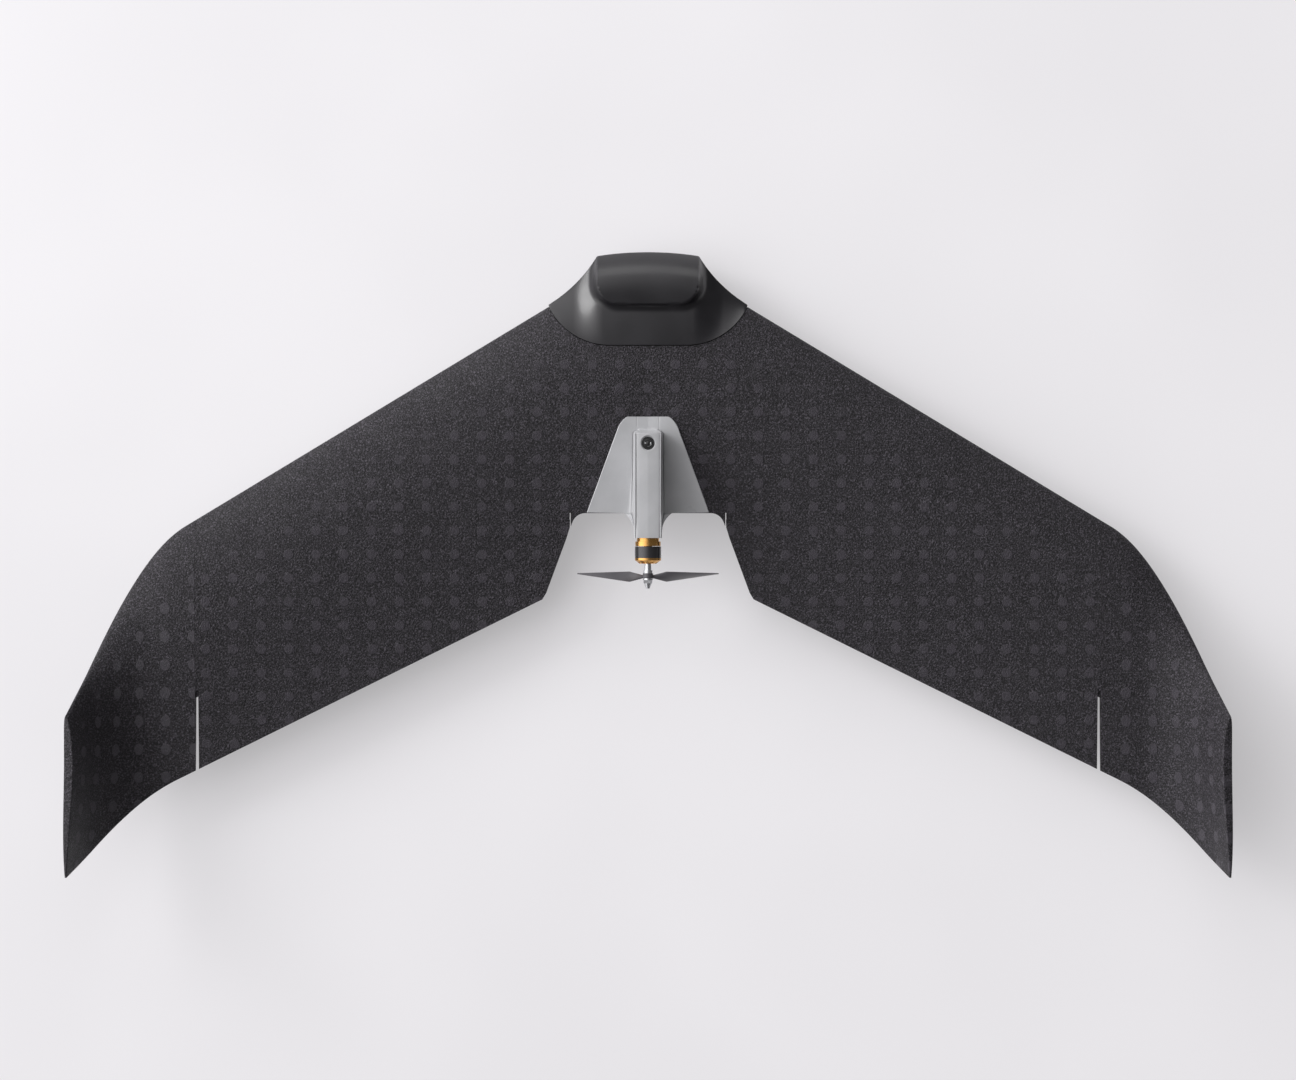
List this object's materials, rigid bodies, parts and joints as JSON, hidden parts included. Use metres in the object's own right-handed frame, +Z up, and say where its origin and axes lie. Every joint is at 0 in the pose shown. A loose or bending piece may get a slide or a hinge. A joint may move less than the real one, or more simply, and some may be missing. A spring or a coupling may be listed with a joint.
{
  "type": "rc foam airplane",
  "caption": "Swept flying-wing foam radio-control aeroplane with upturned winglets, a lift-off nose hood, hinged elevons and a rear pusher propeller.",
  "frame": {"origin": "on the ground under the centre of the outline", "axes": "+X towards the right winglet, +Y towards the nose, +Z up"},
  "size_m": [1.15, 0.6195, 0.1199],
  "materials": {
    "foam": "matte",
    "belly_foam": "matte",
    "hinge_film": "satin",
    "hood_plastic": "satin",
    "magnet": "polished",
    "cowl_plastic": "satin",
    "firewall": "matte",
    "screw_steel": "satin",
    "gold_alloy": "satin",
    "stator_steel": "satin",
    "copper": "gloss",
    "bearing_steel": "polished",
    "can_steel": "satin",
    "adapter_alloy": "satin",
    "prop_plastic": "satin",
    "lead_rubber": "matte",
    "button_plastic": "gloss",
    "spring_steel": "polished",
    "circuit_board": "satin",
    "servo_case": "satin",
    "nylon": "satin",
    "rod_steel": "polished",
    "battery_wrap": "gloss",
    "strap_webbing": "matte",
    "module_case": "satin",
    "antenna_ceramic": "matte",
    "lens_glass": "gloss",
    "carbon": "satin",
    "joiner_plastic": "satin",
    "skid_plastic": "satin"
  },
  "bodies": {
    "airframe": {"wing_foam": "foam", "belly_foam": "belly_foam", "winglet_left": "foam", "winglet_right": "foam", "elevon_hinge_left": "hinge_film", "elevon_hinge_right": "hinge_film", "deck_magnets": "magnet", "motor_cowl": "cowl_plastic", "motor_boom": "cowl_plastic", "cowl_studs": "cowl_plastic", "motor_firewall": "firewall", "motor_screws": "screw_steel", "motor_base": "gold_alloy", "stator_core": "stator_steel", "stator_windings": "copper", "motor_bearings": "bearing_steel", "motor_leads": "lead_rubber", "power_leads": "lead_rubber", "button_bezel": "button_plastic", "button_spring": "spring_steel", "switch_board": "circuit_board", "servo_left": "servo_case", "servo_right": "servo_case", "servo_leads": "lead_rubber", "battery_pack": "battery_wrap", "battery_strap": "strap_webbing", "autopilot_module": "module_case", "esc_board": "circuit_board", "gps_antenna": "antenna_ceramic", "camera_body": "module_case", "camera_lens": "lens_glass", "camera_bezel": "module_case", "main_spars": "carbon", "spar_joiner": "joiner_plastic", "rear_rods": "carbon", "winglet_pegs": "carbon", "belly_skids": "skid_plastic", "belly_sensor": "module_case"},
    "hood": {"hood": "hood_plastic", "hood_magnets": "magnet"},
    "prop_rotor": {"motor_bell": "can_steel", "bell_end_cap": "gold_alloy", "bell_magnets": "magnet", "motor_shaft": "bearing_steel", "shaft_circlip": "screw_steel", "prop_adapter": "adapter_alloy", "propeller": "prop_plastic", "prop_washer": "adapter_alloy", "prop_nut": "adapter_alloy"},
    "power_button": {"power_button": "button_plastic"},
    "elevon_left": {"elevon_left": "foam", "control_horn_left": "nylon"},
    "servo_arm_left": {"servo_arm_left": "nylon", "servo_arm_screw_left": "screw_steel"},
    "pushrod_left": {"pushrod_left": "rod_steel"},
    "elevon_right": {"elevon_right": "foam", "control_horn_right": "nylon"},
    "servo_arm_right": {"servo_arm_right": "nylon", "servo_arm_screw_right": "screw_steel"},
    "pushrod_right": {"pushrod_right": "rod_steel"}
  },
  "joints": [
    {"name": "hood_lift", "type": "slide", "parent": "airframe", "child": "hood", "axis": [0, 0, 1], "range_m": [0, 0.08]},
    {"name": "prop_spin", "type": "hinge", "parent": "airframe", "child": "prop_rotor", "pos_m": [0, 0.00436, 0.076], "axis": [0, 1, 0], "continuous": true},
    {"name": "button_press", "type": "slide", "parent": "airframe", "child": "power_button", "axis": [0, 0, -1], "range_m": [0, 0.001], "stiffness_N_per_m": 600, "deforming": ["button_spring"]},
    {"name": "elevon_right_hinge", "type": "hinge", "parent": "airframe", "child": "elevon_right", "pos_m": [0.2645, -0.0428, 0.04652], "axis": [0.8966, -0.4429, 0], "range_deg": [-25, 25], "deforming": ["elevon_hinge_right"]},
    {"name": "servo_right_turn", "type": "hinge", "parent": "airframe", "child": "servo_arm_right", "pos_m": [0.27657, 0.01816, 0.04], "axis": [0.8966, -0.4429, 0], "range_deg": [-25, 25]},
    {"name": "pushrod_right_turn", "type": "hinge", "parent": "servo_arm_right", "child": "pushrod_right", "pos_m": [0.27657, 0.01816, 0.02], "axis": [0.8966, -0.4429, 0], "range_deg": [-25, 25]},
    {"name": "elevon_left_hinge", "type": "hinge", "parent": "airframe", "child": "elevon_left", "pos_m": [-0.2645, -0.0428, 0.04652], "axis": [0.8966, 0.4429, 0], "range_deg": [-25, 25], "deforming": ["elevon_hinge_left"]},
    {"name": "servo_left_turn", "type": "hinge", "parent": "airframe", "child": "servo_arm_left", "pos_m": [-0.27657, 0.01816, 0.04], "axis": [0.8966, 0.4429, 0], "range_deg": [-25, 25]},
    {"name": "pushrod_left_turn", "type": "hinge", "parent": "servo_arm_left", "child": "pushrod_left", "pos_m": [-0.27657, 0.01816, 0.02], "axis": [0.8966, 0.4429, 0], "range_deg": [-25, 25]}
  ],
  "couplings": [
    {"joint": "servo_right_turn", "follows": "elevon_right_hinge", "ratio": 1},
    {"joint": "pushrod_right_turn", "follows": "elevon_right_hinge", "ratio": -1},
    {"joint": "servo_left_turn", "follows": "elevon_left_hinge", "ratio": 1},
    {"joint": "pushrod_left_turn", "follows": "elevon_left_hinge", "ratio": -1}
  ]
}
